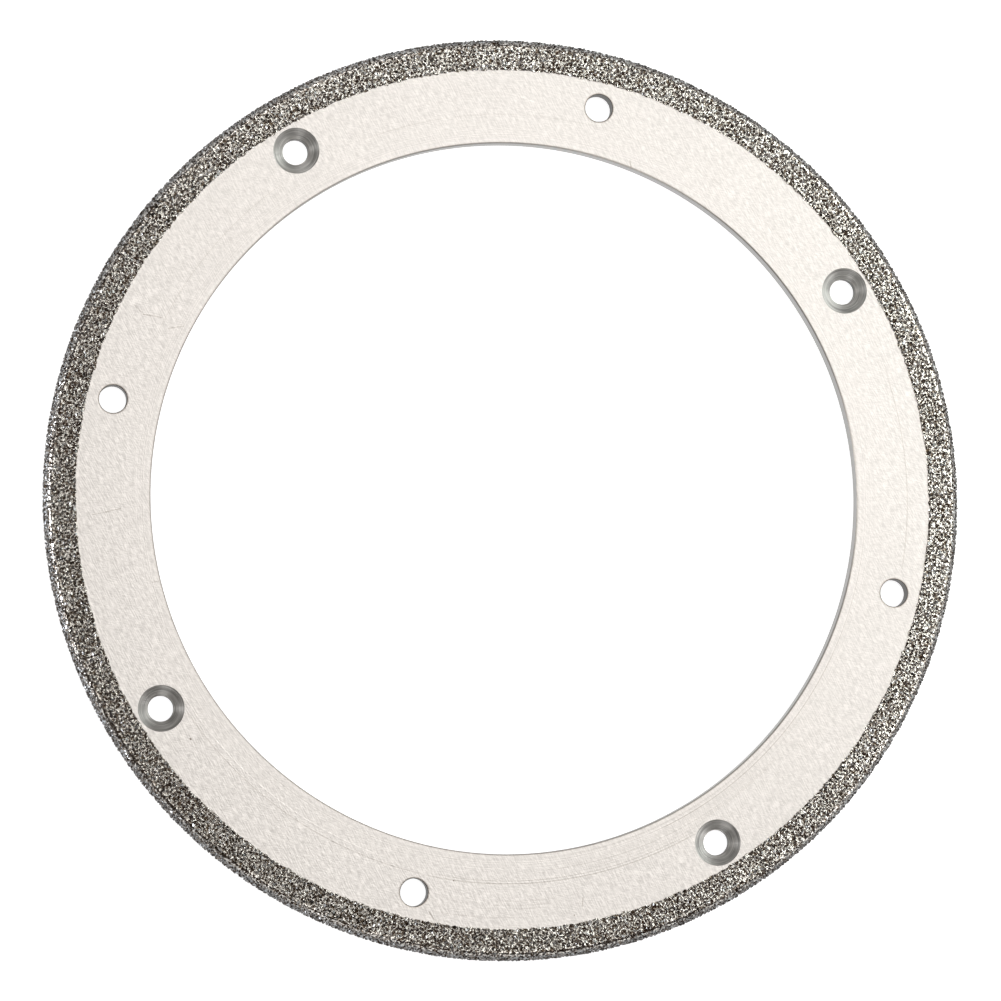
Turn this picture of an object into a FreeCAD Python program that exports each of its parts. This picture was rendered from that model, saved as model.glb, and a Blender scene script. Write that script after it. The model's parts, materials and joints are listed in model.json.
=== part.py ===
import FreeCAD, Part
import math
import os

# Ring-shaped CBN grinding wheel: a turned steel ring whose rim carries one plated layer of
# abrasive grit. Units are millimetres. The origin is the centre of the bore on the underside,
# and +Z points along the wheel's axis, out of the countersunk face.

# Steel ring
WHEEL_DIAMETER = 200.0          # across the grit
BARE_FACE_WIDTH = 16.0          # from the bore to the edge of the grit, measured on the radius
STEEL_THICKNESS = 4.0           # bare face to underside
BORE_EDGE_BREAK = 0.25          # 45 degree break at both ends of the bore
BACK_EDGE_BREAK = 0.5           # 45 degree break round the underside's outer edge

# Plated layer of grit
GRIT_LAYER = 0.45               # one grain and its nickel bond
COATED_WIDTH = 7.0              # from the edge of the grit to the outside, measured on the radius
GRIT_BACK_MARGIN = 0.4          # bare steel below the layer, above the back edge break

# Rim, measured over the grit: a flat land, a rounded shoulder, a bevel and a straight side
BEVEL_WIDTH = 2.2               # from the end of the land to the side, measured on the radius
BEVEL_ANGLE = 60.0              # below the face's plane
SHOULDER_RADIUS = 1.5

# Countersunk screw holes, for M5 screws
SCREW_HOLE_COUNT = 4
SCREW_HOLE_DIAMETER = 5.5
COUNTERSINK_DIAMETER = 10.0
COUNTERSINK_ANGLE = 90.0
SCREW_HOLE_START = 0.0          # degrees from +X to the first hole

# Plain holes, halfway between the screw holes
PLAIN_HOLE_COUNT = 4
PLAIN_HOLE_DIAMETER = 6.0
PLAIN_HOLE_START = 45.0         # degrees from +X to the first hole

# Both sets of holes
SCREW_HEAD_TO_GRIT = 0.5        # bare steel between a countersink's mouth and the grit
HOLE_EDGE_BREAK = 0.1           # light deburring, 45 degrees

# Length by which a drilling tool runs out past each face
TOOL_OVERRUN = 1.0

wheel_radius = WHEEL_DIAMETER / 2
steel_radius = wheel_radius - GRIT_LAYER
grit_inner_radius = wheel_radius - COATED_WIDTH
bore_radius = grit_inner_radius - BARE_FACE_WIDTH
pitch_circle_radius = grit_inner_radius - SCREW_HEAD_TO_GRIT - COUNTERSINK_DIAMETER / 2
grit_top = STEEL_THICKNESS + GRIT_LAYER
grit_bottom = BACK_EDGE_BREAK + GRIT_BACK_MARGIN
shoulder_centre = (wheel_radius - BEVEL_WIDTH, grit_top - SHOULDER_RADIUS)


def point(r, z):
    """Point of a turned profile, at radius r and height z."""
    return FreeCAD.Vector(r, 0, z)


def line(start, end):
    """Straight edge of a turned profile."""
    return Part.LineSegment(point(*start), point(*end)).toShape()


def shoulder_point(radius, angle):
    """Point at that radius about the shoulder's centre, turned down by angle from straight up."""
    r, z = shoulder_centre
    turn = math.radians(angle)
    return (r + radius * math.sin(turn), z + radius * math.cos(turn))


def shoulder_arc(radius):
    """Rounded shoulder, from the end of the land to the start of the bevel."""
    corners = [shoulder_point(radius, BEVEL_ANGLE * share) for share in (0, 0.5, 1)]
    return Part.Arc(*[point(*corner) for corner in corners]).toShape()


def bevel_end(radius, side_radius):
    """Corner where the bevel that leaves a shoulder of that radius meets the side."""
    r, z = shoulder_point(radius, BEVEL_ANGLE)
    drop = (side_radius - r) * math.tan(math.radians(BEVEL_ANGLE))
    return (side_radius, z - drop)


def straight_run(corners):
    """Straight edges of a turned profile, from corner to corner."""
    return [line(start, end) for start, end in zip(corners, corners[1:])]


def turned(edges):
    """Solid of revolution about the wheel's axis, from the closed profile's edges in order."""
    face = Part.Face(Part.Wire(edges))
    axis = FreeCAD.Vector(0, 0, 1)
    return face.revolve(FreeCAD.Vector(0, 0, 0), axis, 360)


def steel_blank():
    """The turned ring before drilling: bore, face, shoulder, bevel, side and back."""
    bore_at_edge = bore_radius + BORE_EDGE_BREAK
    shoulder_radius = SHOULDER_RADIUS - GRIT_LAYER
    corners = [
        shoulder_point(shoulder_radius, BEVEL_ANGLE),
        bevel_end(shoulder_radius, steel_radius),
        (steel_radius, BACK_EDGE_BREAK),
        (steel_radius - BACK_EDGE_BREAK, 0),
        (bore_at_edge, 0),
        (bore_radius, BORE_EDGE_BREAK),
        (bore_radius, STEEL_THICKNESS - BORE_EDGE_BREAK),
        (bore_at_edge, STEEL_THICKNESS),
        shoulder_point(shoulder_radius, 0),
    ]
    return turned([shoulder_arc(shoulder_radius)] + straight_run(corners))


def drill(diameter):
    """Straight drill through the ring, standing on the wheel's axis."""
    length = STEEL_THICKNESS + 2 * TOOL_OVERRUN
    return Part.makeCylinder(diameter / 2, length, point(0, -TOOL_OVERRUN))


def edge_break_cone(diameter, at_top):
    """Cone that takes the sharp edge off a hole at the bare face or at the underside."""
    wide = diameter / 2 + HOLE_EDGE_BREAK + TOOL_OVERRUN
    narrow = diameter / 2
    depth = HOLE_EDGE_BREAK + TOOL_OVERRUN
    if at_top:
        base = point(0, STEEL_THICKNESS - HOLE_EDGE_BREAK)
        return Part.makeCone(narrow, wide, depth, base)
    return Part.makeCone(wide, narrow, depth, point(0, -TOOL_OVERRUN))


def countersink_cone():
    """Seat of the screw head, its mouth at COUNTERSINK_DIAMETER on the bare face."""
    slope = math.tan(math.radians(COUNTERSINK_ANGLE / 2))
    depth = (COUNTERSINK_DIAMETER - SCREW_HOLE_DIAMETER) / 2 / slope
    mouth = COUNTERSINK_DIAMETER / 2 + TOOL_OVERRUN * slope
    base = point(0, STEEL_THICKNESS - depth)
    return Part.makeCone(SCREW_HOLE_DIAMETER / 2, mouth, depth + TOOL_OVERRUN, base)


def screw_hole_tools():
    """What the countersunk hole takes away, on the wheel's axis."""
    straight = drill(SCREW_HOLE_DIAMETER)
    back_break = edge_break_cone(SCREW_HOLE_DIAMETER, at_top=False)
    return [straight, countersink_cone(), back_break]


def plain_hole_tools():
    """What the plain hole takes away, on the wheel's axis."""
    straight = drill(PLAIN_HOLE_DIAMETER)
    breaks = [edge_break_cone(PLAIN_HOLE_DIAMETER, at_top) for at_top in (True, False)]
    return [straight] + breaks


def on_pitch_circle(tools, count, start_angle):
    """Copies of the tools at count even places round the pitch circle."""
    placed = []
    for index in range(count):
        angle = math.radians(start_angle + 360 * index / count)
        place = FreeCAD.Vector(math.cos(angle), math.sin(angle), 0) * pitch_circle_radius
        for tool in tools:
            moved = tool.copy()
            moved.translate(place)
            placed.append(moved)
    return placed


def steel_ring():
    """The drilled steel ring."""
    screw_holes = on_pitch_circle(screw_hole_tools(), SCREW_HOLE_COUNT, SCREW_HOLE_START)
    plain_holes = on_pitch_circle(plain_hole_tools(), PLAIN_HOLE_COUNT, PLAIN_HOLE_START)
    return steel_blank().cut(screw_holes + plain_holes)


def grit_layer():
    """Layer over the face's outer land, the shoulder, bevel and side, seated on the steel."""
    seat_radius = SHOULDER_RADIUS - GRIT_LAYER
    outside = [
        shoulder_point(SHOULDER_RADIUS, BEVEL_ANGLE),
        bevel_end(SHOULDER_RADIUS, wheel_radius),
        (wheel_radius, grit_bottom),
        (steel_radius, grit_bottom),
        bevel_end(seat_radius, steel_radius),
        shoulder_point(seat_radius, BEVEL_ANGLE),
    ]
    inner_edge = [
        shoulder_point(seat_radius, 0),
        (grit_inner_radius, STEEL_THICKNESS),
        (grit_inner_radius, grit_top),
        shoulder_point(SHOULDER_RADIUS, 0),
    ]
    edges = [shoulder_arc(SHOULDER_RADIUS)] + straight_run(outside)
    edges += [shoulder_arc(seat_radius)] + straight_run(inner_edge)
    return turned(edges)


def main():
    os.makedirs("parts", exist_ok=True)
    pieces = {"steel_ring": steel_ring(), "cbn_grit_layer": grit_layer()}
    for name, shape in pieces.items():
        solid = shape.Solids[0]
        solid.exportStep(f"parts/{name}.step")
        print(name, "valid", solid.isValid(), "solids", len(shape.Solids), "volume", solid.Volume)


main()
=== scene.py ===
"""Looks of a ring-shaped CBN grinding wheel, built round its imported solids.

A turned and ground steel ring, with countersunk and plain holes, carries one plated layer of
abrasive crystals over its outer land, shoulder, bevel and side. Lengths are in metres. The
wheel's own sizes come from the frame, and the properties hold what a user would change.
"""

import json
import math
from collections import namedtuple

import bmesh
import bpy
import numpy as np
from bpy.props import FloatProperty, FloatVectorProperty, PointerProperty
from mathutils import Matrix, Vector

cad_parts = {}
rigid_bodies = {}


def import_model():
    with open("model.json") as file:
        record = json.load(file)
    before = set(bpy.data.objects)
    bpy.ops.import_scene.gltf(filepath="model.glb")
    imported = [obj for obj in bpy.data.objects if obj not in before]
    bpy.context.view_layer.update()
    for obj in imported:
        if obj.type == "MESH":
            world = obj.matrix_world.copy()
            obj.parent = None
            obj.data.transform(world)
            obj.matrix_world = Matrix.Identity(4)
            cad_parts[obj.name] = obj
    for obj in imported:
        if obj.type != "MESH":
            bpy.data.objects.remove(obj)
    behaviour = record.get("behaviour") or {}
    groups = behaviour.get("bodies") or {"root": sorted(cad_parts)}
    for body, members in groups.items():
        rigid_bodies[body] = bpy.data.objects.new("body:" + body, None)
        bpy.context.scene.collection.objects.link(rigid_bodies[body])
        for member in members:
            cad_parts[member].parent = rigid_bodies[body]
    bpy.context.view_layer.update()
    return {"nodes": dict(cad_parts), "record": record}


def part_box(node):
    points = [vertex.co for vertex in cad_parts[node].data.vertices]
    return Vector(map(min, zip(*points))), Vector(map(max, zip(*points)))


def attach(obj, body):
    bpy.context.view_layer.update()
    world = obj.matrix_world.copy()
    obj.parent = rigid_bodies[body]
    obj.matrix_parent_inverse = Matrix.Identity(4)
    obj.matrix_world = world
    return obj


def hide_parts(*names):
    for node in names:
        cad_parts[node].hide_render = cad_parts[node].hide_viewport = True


bl_info = {
    "name": "CBN grinding wheel",
    "version": (1, 0, 0),
    "blender": (4, 5, 0),
    "location": "3D View > Sidebar > Grinding wheel",
    "description": "A ground steel ring with a plated rim of CBN crystals, and a studio for it",
    "category": "Object",
}

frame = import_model()

MM = 0.001
BODY = "root"


def mount_sizes(name):
    """Sizes of one of the record's mounts, in its own millimetres."""
    return next(mount["dims"] for mount in frame["record"]["mounts"] if mount["name"] == name)


def node_radii(node):
    """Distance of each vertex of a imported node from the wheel's axis."""
    mesh = frame["nodes"][node].data
    places = np.empty(3 * len(mesh.vertices), np.float32)
    mesh.vertices.foreach_get("co", places)
    places = places.reshape(-1, 3)
    return np.hypot(places[:, 0], places[:, 1])


# Sizes read from the frame
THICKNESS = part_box("steel_ring")[1].z
STEEL_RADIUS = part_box("steel_ring")[1].x
WHEEL_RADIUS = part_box("cbn_grit_layer")[1].x
GRIT_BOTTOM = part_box("cbn_grit_layer")[0].z
GRIT_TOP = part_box("cbn_grit_layer")[1].z
GRIT_INNER_RADIUS = float(node_radii("cbn_grit_layer").min())
LAYER = WHEEL_RADIUS - STEEL_RADIUS
BORE_RADIUS = mount_sizes("centre_bore")["r_mm"] * MM
PITCH_RADIUS = mount_sizes("screw_holes")["pcd_mm"] * MM / 2
SCREW_HOLE_RADIUS = mount_sizes("screw_holes")["hole_r_mm"] * MM
PLAIN_HOLE_RADIUS = mount_sizes("plain_holes")["hole_r_mm"] * MM
HOLE_COUNT = mount_sizes("screw_holes")["count"] + mount_sizes("plain_holes")["count"]

# How finely the meshes are divided
ARC_STEPS = 72          # along the part of a circle that belongs to one hole
SIDE_STEPS = 24         # along the radial line between two holes' sectors
SECTOR_RINGS = 10       # from a hole to the edge of its sector
RING_CROWDING = 1.3     # power that crowds them toward the hole
CONE_STEPS = 4          # down a countersink
BOND_COLUMNS = 2000     # round the plated layer
BOND_STEP = 0.27 * MM   # across the plated layer
SEAT_ROWS = 10          # across its seat on the steel

# Starts of the random draws
SCATTER_SEED = 20
BOND_SEED = 21
CRYSTAL_SEED = 22


def linear(hex_colour):
    """Linear RGB of an sRGB colour written as hex."""
    srgb = np.array([int(hex_colour[i : i + 2], 16) for i in (1, 3, 5)]) / 255
    rgb = np.where(srgb <= 0.04045, srgb / 12.92, ((srgb + 0.055) / 1.055) ** 2.4)
    return tuple(float(channel) for channel in rgb)


def length_property(name, description, millimetres):
    """A length that the user may set, given in millimetres and kept in metres."""
    return FloatProperty(
        name=name,
        description=description,
        default=millimetres * MM,
        min=0,
        subtype="DISTANCE",
        unit="LENGTH",
        precision=5,
    )


def angle_property(name, description, degrees):
    """An angle that the user may set, given in degrees and kept in radians."""
    return FloatProperty(
        name=name,
        description=description,
        default=math.radians(degrees),
        subtype="ANGLE",
        unit="ROTATION",
    )


def colour_property(name, description, hex_colour):
    """A colour that the user may set, given as sRGB hex and kept linear."""
    return FloatVectorProperty(
        name=name,
        description=description,
        default=linear(hex_colour),
        min=0,
        max=1,
        size=3,
        subtype="COLOR",
    )


class SteelSettings(bpy.types.PropertyGroup):
    """Details and finish of the steel ring."""

    bore_edge_break: length_property("Bore edge break", "45 degree break at both ends of the bore", 0.25)
    back_edge_break: length_property("Back edge break", "45 degree break at the underside's rim", 0.5)
    hole_edge_break: length_property("Hole edge break", "Deburring at the ends of a hole", 0.1)
    countersink_diameter: length_property("Countersink", "Mouth of a countersunk hole", 10.0)
    countersink_angle: angle_property("Countersink angle", "Full angle of the cone", 90)
    grain_width: length_property("Grinding mark width", "Across a mark on the ground faces", 0.24)
    grain_length: length_property("Grinding mark length", "Along a mark on the ground faces", 1.9)
    grain_direction: angle_property("Grinding direction", "Direction of the grinding passes", 87)
    tool_pitch: length_property("Turning pitch", "Between turning marks, as coarse as shows", 0.22)
    face_colour: colour_property("Ground steel", "Reflection of the ground faces", "#CFCBC8")
    edge_colour: colour_property("Turned steel", "Reflection of the bore and the rim", "#A3A2A0")
    # Painted shade: the walls inside the holes are coloured darker than the other steel
    drill_shade_colour: colour_property("Drilled steel", "Reflection inside the holes", "#5C5A58")
    cone_colour: colour_property("Countersunk steel", "Reflection of the countersinks", "#CECCC9")
    stain_colour: colour_property("Marks", "Tint of scratches and lines on the face", "#8F8478")


class GritSettings(bpy.types.PropertyGroup):
    """Form and finish of the plated layer."""

    bevel_width: length_property("Bevel width", "From the end of the land to the side", 2.2)
    bevel_angle: angle_property("Bevel angle", "Below the face's plane", 60)
    shoulder_radius: length_property("Shoulder radius", "Between the land and the bevel", 1.5)
    crystal_pitch: length_property("Crystal pitch", "Between neighbouring crystals", 0.76)
    crystal_size: length_property("Crystal size", "Mean width of a crystal", 0.64)
    bond_depth: length_property("Bond depth", "Nickel's mean level below the crystals' tops", 0.33)
    bond_roughness: length_property("Bond unevenness", "Height of the nickel's lumps", 0.03)
    # Painted shade: a darker, bluer copy of the nickel colour for the bevel and the side
    bevel_shade_colour: colour_property("Nickel on the bevel", "Duller nickel over the bevel and side", "#A9ACAF")
    nickel_colour: colour_property("Nickel bond", "Reflection of the electroplated nickel", "#E6E2DC")
    # Painted shade: the nickel is darkened and browned in the hollows between its lumps
    hollow_shade_colour: colour_property("Nickel, hollows", "Stained nickel between the lumps", "#605243")
    crystal_dark: colour_property("Crystal, dark", "Darkest of the CBN crystals", "#120C07")
    crystal_light: colour_property("Crystal, light", "Lightest of the CBN crystals", "#3E2B19")


class StageSettings(bpy.types.PropertyGroup):
    """Camera and floor."""

    distance: length_property("Camera distance", "From the wheel's centre", 1050)
    tilt: angle_property("Camera tilt", "Off the wheel's axis", 8.896)
    azimuth: angle_property("Camera azimuth", "Side to which the camera is tilted", 176.568)
    picture_up: angle_property("Picture's up", "Direction that points up in the picture", 58.325)
    aim_shift: length_property("Aim", "From the wheel's centre toward the camera's side", 1.055)
    focal_length: FloatProperty(
        name="Focal length", description="On a 36 mm wide sensor", default=174.17, subtype="DISTANCE_CAMERA"
    )
    floor_colour: colour_property("Floor", "Matt white table, lit from below", "#BCBCBC")


class WheelSettings(bpy.types.PropertyGroup):
    """Everything that a user may set."""

    steel: PointerProperty(type=SteelSettings)
    grit: PointerProperty(type=GritSettings)
    stage: PointerProperty(type=StageSettings)


# Meshes

# Grid of points with its UV map and its material's number, flipped if its quads face the other way
Patch = namedtuple("Patch", "points uv material flip")


def patch_quads(patch, first):
    """Quads between neighbouring rows and columns of a patch whose vertices start at first.

    A quad faces along its row direction crossed with its column direction, or the other way
    if the patch is flipped.
    """
    rows, columns = patch.points.shape[:2]
    number = np.arange(rows * columns).reshape(rows, columns) + first
    corners = [number[:-1, :-1], number[1:, :-1], number[1:, 1:], number[:-1, 1:]]
    quads = np.stack(corners, axis=-1).reshape(-1, 4)
    return quads[:, ::-1] if patch.flip else quads


def mesh_from_faces(name, points, corners, face_sizes):
    """Mesh from vertex places, the faces' corners in one list, and each face's corner count."""
    mesh = bpy.data.meshes.new(name)
    mesh.vertices.add(len(points))
    mesh.vertices.foreach_set("co", np.ascontiguousarray(points, np.float32).ravel())
    mesh.loops.add(len(corners))
    mesh.loops.foreach_set("vertex_index", np.ascontiguousarray(corners, np.int32))
    mesh.polygons.add(len(face_sizes))
    starts = np.concatenate([[0], np.cumsum(face_sizes)[:-1]])
    mesh.polygons.foreach_set("loop_start", starts.astype(np.int32))
    mesh.update(calc_edges=True)
    return mesh


def mesh_from_patches(name, patches):
    """Closed mesh from patches that meet point for point along their borders."""
    firsts = np.cumsum([0] + [patch.points.shape[0] * patch.points.shape[1] for patch in patches])
    points = np.concatenate([patch.points.reshape(-1, 3) for patch in patches])
    uv = np.concatenate([patch.uv.reshape(-1, 2) for patch in patches])
    quads = [patch_quads(patch, first) for patch, first in zip(patches, firsts)]
    corners = np.concatenate(quads).ravel()
    mesh = mesh_from_faces(name, points, corners, np.full(len(corners) // 4, 4))
    slots = np.concatenate([np.full(len(q), p.material) for q, p in zip(quads, patches)])
    mesh.polygons.foreach_set("material_index", slots.astype(np.int32))
    mesh.uv_layers.new(name="Lay")
    mesh.uv_layers["Lay"].data.foreach_set("uv", uv[corners].astype(np.float32).ravel())
    weld = bmesh.new()
    weld.from_mesh(mesh)
    bmesh.ops.remove_doubles(weld, verts=weld.verts, dist=0.0005 * MM)
    weld.to_mesh(mesh)
    weld.free()
    mesh.shade_smooth()
    mesh.set_sharp_from_angle(angle=math.radians(20))
    return mesh


def add_piece(name, mesh, materials, replaced=()):
    """Puts a mesh on the wheel's body as a finished piece."""
    piece = bpy.data.objects.new(name, mesh)
    bpy.context.scene.collection.objects.link(piece)
    for material in materials:
        mesh.materials.append(material)
    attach(piece, BODY)
    if replaced:
        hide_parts(*replaced)
    return piece


def sector_border(middle, inner, outer):
    """Border of one hole's sector as points in the plane, counter-clockwise from the outer arc.

    Two arcs about the wheel's axis, joined by two radial lines, 1 / HOLE_COUNT of a turn apart.
    """
    half = math.pi / HOLE_COUNT
    along = np.linspace(-half, half, ARC_STEPS + 1)[:-1]
    across = np.linspace(0, 1, SIDE_STEPS + 1)[:-1]
    angle = np.concatenate([along, np.full(SIDE_STEPS, half), -along, np.full(SIDE_STEPS, -half)])
    radius = np.concatenate([
        np.full(ARC_STEPS, outer),
        outer + (inner - outer) * across,
        np.full(ARC_STEPS, inner),
        inner + (outer - inner) * across,
    ])
    angle = np.append(angle, angle[0]) + middle
    radius = np.append(radius, radius[0])
    return np.stack([radius * np.cos(angle), radius * np.sin(angle)], axis=-1)


def hole_angles():
    """Angles round a hole that answer to the points of its sector's border.

    The arcs' points share three quarters of the turn and the radial lines' points the rest.
    """
    steps = 2 * (ARC_STEPS + SIDE_STEPS)
    turn = np.linspace(0, 2 * math.pi, steps + 1)
    return turn - turn[ARC_STEPS] / 2


def hole_circle(middle, radius):
    """Circle about a hole's axis, in the plane, at a sector's middle angle."""
    angle = hole_angles() + middle
    centre = PITCH_RADIUS * np.array([math.cos(middle), math.sin(middle)])
    return centre + radius * np.stack([np.cos(angle), np.sin(angle)], axis=-1)


def ground_patch(middle, height, hole_radius, inner, outer, direction):
    """Flat sector of a ground face round one hole, facing up, or down at height zero.

    Each point lies at (1 - s) of the hole's circle and s of the sector's border, with s in even
    steps to a power, so that the rings crowd toward the hole. The lay of its UV map runs along
    the grinding direction.
    """
    share = np.linspace(0, 1, SECTOR_RINGS + 1)[:, None, None] ** RING_CROWDING
    plane = (1 - share) * hole_circle(middle, hole_radius) + share * sector_border(middle, inner, outer)
    points = np.concatenate([plane, np.full(plane.shape[:2] + (1,), height)], axis=-1)
    cos, sin = math.cos(direction), math.sin(direction)
    lay = plane @ np.array([[cos, -sin], [sin, cos]])
    return Patch(points, lay / (2 * WHEEL_RADIUS), 0, height == 0)


def wall_patch(profile, angles, centre, material, inward):
    """Wall turned about an axis: each (radius, height) of the profile carried round the angles.

    The profile runs downwards. Its UV map has the angle across and the profile's length down.
    """
    profile = np.array(profile)
    radius, height = profile[:, :1], profile[:, 1:]
    x = centre[0] + radius * np.cos(angles)
    y = centre[1] + radius * np.sin(angles)
    points = np.stack([x, y, np.broadcast_to(height, x.shape)], axis=-1)
    down = np.concatenate([[0], np.cumsum(np.hypot(*np.diff(profile, axis=0).T))])[:, None]
    turn = (angles - angles[0]) / (2 * math.pi)
    uv = np.stack(np.broadcast_arrays(turn, down / (10 * MM)), axis=-1)
    return Patch(points, uv, material, inward)


def rim_path(grit, depth, along):
    """Radius, height and facing of the rim's outline, at lengths along it from the grit's edge.

    The outline is a flat land, an arc, a straight bevel and a straight side. It lies at a depth
    below the layer's outside, and facing is the turn of its outward direction from straight up.
    """
    radius, angle = grit.shoulder_radius, grit.bevel_angle
    land, arc, bevel, side = rim_lengths(grit)
    on_land = np.clip(along, 0, land)
    turned = np.clip(along - land, 0, arc) / radius
    on_bevel = np.clip(along - land - arc, 0, bevel)
    on_side = np.clip(along - land - arc - bevel, 0, side)
    toward_side = np.clip((along - land - arc - bevel) / (2 * SIDE_CORNER) + 0.5, 0, 1)
    facing = turned + (math.pi / 2 - angle) * toward_side
    r = GRIT_INNER_RADIUS + on_land + radius * np.sin(turned) + on_bevel * math.cos(angle)
    z = GRIT_TOP - radius * (1 - np.cos(turned)) - on_bevel * math.sin(angle) - on_side
    return r - depth * np.sin(facing), z - depth * np.cos(facing), facing


def rim_lengths(grit):
    """Lengths of the rim's land, shoulder arc, bevel and side, over the layer."""
    radius, angle = grit.shoulder_radius, grit.bevel_angle
    land = WHEEL_RADIUS - grit.bevel_width - GRIT_INNER_RADIUS
    bevel = (grit.bevel_width - radius * math.sin(angle)) / math.cos(angle)
    drop = radius * (1 - math.cos(angle)) + bevel * math.sin(angle)
    return land, radius * angle, bevel, GRIT_TOP - drop - GRIT_BOTTOM


def steel_rim_profile(grit, steel):
    """(radius, height) down the steel's rim: shoulder, bevel, side and back edge break."""
    seat_radius = grit.shoulder_radius - LAYER
    turn = np.linspace(0, grit.bevel_angle, 7)
    centre = (WHEEL_RADIUS - grit.bevel_width, GRIT_TOP - grit.shoulder_radius)
    shoulder = np.array(centre) + seat_radius * np.stack([np.sin(turn), np.cos(turn)], -1)
    bevel_drop = (STEEL_RADIUS - shoulder[-1, 0]) * math.tan(grit.bevel_angle)
    corners = [
        (STEEL_RADIUS, shoulder[-1, 1] - bevel_drop),
        (STEEL_RADIUS, steel.back_edge_break),
        (STEEL_RADIUS - steel.back_edge_break, 0),
    ]
    return np.concatenate([shoulder, corners])


def steel_ring_patches(steel, grit):
    """The drilled ring: both ground faces in sectors, the holes' walls, the bore and the rim."""
    bore_edge = BORE_RADIUS + steel.bore_edge_break
    mouth = steel.countersink_diameter / 2
    cone_depth = (mouth - SCREW_HOLE_RADIUS) / math.tan(steel.countersink_angle / 2)
    down_cone = np.linspace(0, 1, CONE_STEPS + 1)[:, None]
    cone = np.array([[mouth, THICKNESS]]) - down_cone * [mouth - SCREW_HOLE_RADIUS, cone_depth]
    screw_back = SCREW_HOLE_RADIUS + steel.hole_edge_break
    plain_edge = PLAIN_HOLE_RADIUS + steel.hole_edge_break
    screw_wall = [cone[-1], (SCREW_HOLE_RADIUS, steel.hole_edge_break), (screw_back, 0)]
    plain_wall = [
        (plain_edge, THICKNESS),
        (PLAIN_HOLE_RADIUS, THICKNESS - steel.hole_edge_break),
        (PLAIN_HOLE_RADIUS, steel.hole_edge_break),
        (plain_edge, 0),
    ]
    rim = steel_rim_profile(grit, steel)
    patches = []
    for index in range(HOLE_COUNT):
        middle = 2 * math.pi * index / HOLE_COUNT
        centre = (PITCH_RADIUS * math.cos(middle), PITCH_RADIUS * math.sin(middle))
        countersunk = index % 2 == 0
        top_radius = mouth if countersunk else plain_edge
        back_radius = screw_back if countersunk else plain_edge
        lay = steel.grain_direction
        patches.append(ground_patch(middle, THICKNESS, top_radius, bore_edge, rim[0, 0], lay))
        patches.append(ground_patch(middle, 0, back_radius, bore_edge, rim[-1, 0], lay))
        angles = hole_angles() + middle
        if countersunk:
            patches.append(wall_patch(cone, angles, centre, 2, True))
        patches.append(wall_patch(screw_wall if countersunk else plain_wall, angles, centre, 3, True))
    half = math.pi / HOLE_COUNT
    round_angles = np.linspace(-half, 2 * math.pi - half, HOLE_COUNT * ARC_STEPS + 1)
    bore = [
        (bore_edge, THICKNESS),
        (BORE_RADIUS, THICKNESS - steel.bore_edge_break),
        (BORE_RADIUS, steel.bore_edge_break),
        (bore_edge, 0),
    ]
    patches.append(wall_patch(bore[:2], round_angles, (0, 0), 0, True))
    patches.append(wall_patch(bore[1:], round_angles, (0, 0), 1, True))
    patches.append(wall_patch(rim, round_angles, (0, 0), 1, False))
    return patches


# The plated layer

# Crystals, each at a length along the rim's outline and an angle round the wheel
Crystals = namedtuple("Crystals", "along angle radius")
CRYSTAL_NAMES = ("blocky_crystals", "pointed_crystals")
CRYSTAL_JITTER = 0.42               # most that a crystal moves, as a share of the grid
CRYSTAL_VARIATION = 0.16            # spread of the crystals' sizes
CRYSTAL_FLATTENING = 0.18           # share of its height that a crystal loses toward the layer
CRYSTAL_SINKING = (0.65, 0.95)      # least and most depth of a crystal's middle, in radii
MISSING_CRYSTALS = 0.05             # share of the places left empty
NICKEL_COVER = 0.02 * MM            # least depth of the nickel below the layer's outside
NICKEL_FLOOR = 0.05 * MM            # least nickel over the steel
SWELL_HEIGHT = 0.12 * MM            # of the nickel against a crystal
SWELL_WIDTH = 0.10 * MM             # over which the swell dies away
SHOULDER_BUILD_UP = 0.07 * MM       # extra nickel on the shoulder
SHOULDER_BUILD_UP_WIDTH = 0.5 * MM
THINNING = 0.02 * MM                # of the nickel beyond the shoulder
THINNING_WIDTH = 1.2 * MM           # over which it sets in
EDGE_RAGGEDNESS = 0.12 * MM         # of the layer's inner edge
EDGE_RAGGED_WIDTH = 0.8 * MM        # over which it dies away
SIDE_CORNER = 0.15 * MM             # half the length over which the bevel turns into the side


def scatter_crystals(grit):
    """Places of the crystals on the rim's outline: a staggered grid, each moved at random.

    Rows lie at even lengths along the outline, columns at even angles. No crystal reaches
    past the layer's inner edge. Returns arrays of rows by columns.
    """
    rng = np.random.default_rng(SCATTER_SEED)
    total = sum(rim_lengths(grit))
    row_count = round(total / (grit.crystal_pitch * math.sqrt(0.75)))
    column_count = round(2 * math.pi * (GRIT_INNER_RADIUS + WHEEL_RADIUS) / 2 / grit.crystal_pitch)
    shape = (row_count, column_count)
    row = np.arange(row_count)[:, None]
    column = np.arange(column_count)[None, :] + 0.5 * (row % 2)
    along = (row + 0.5 + rng.uniform(-CRYSTAL_JITTER, CRYSTAL_JITTER, shape)) * total / row_count
    along = np.maximum(along, grit.crystal_size * 0.5)
    angle = (column + rng.uniform(-CRYSTAL_JITTER, CRYSTAL_JITTER, shape)) * 2 * math.pi / column_count
    radius = grit.crystal_size / 2 * np.clip(rng.normal(1, CRYSTAL_VARIATION, shape), 0.65, 1.35)
    return Crystals(along, angle, radius)


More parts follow.
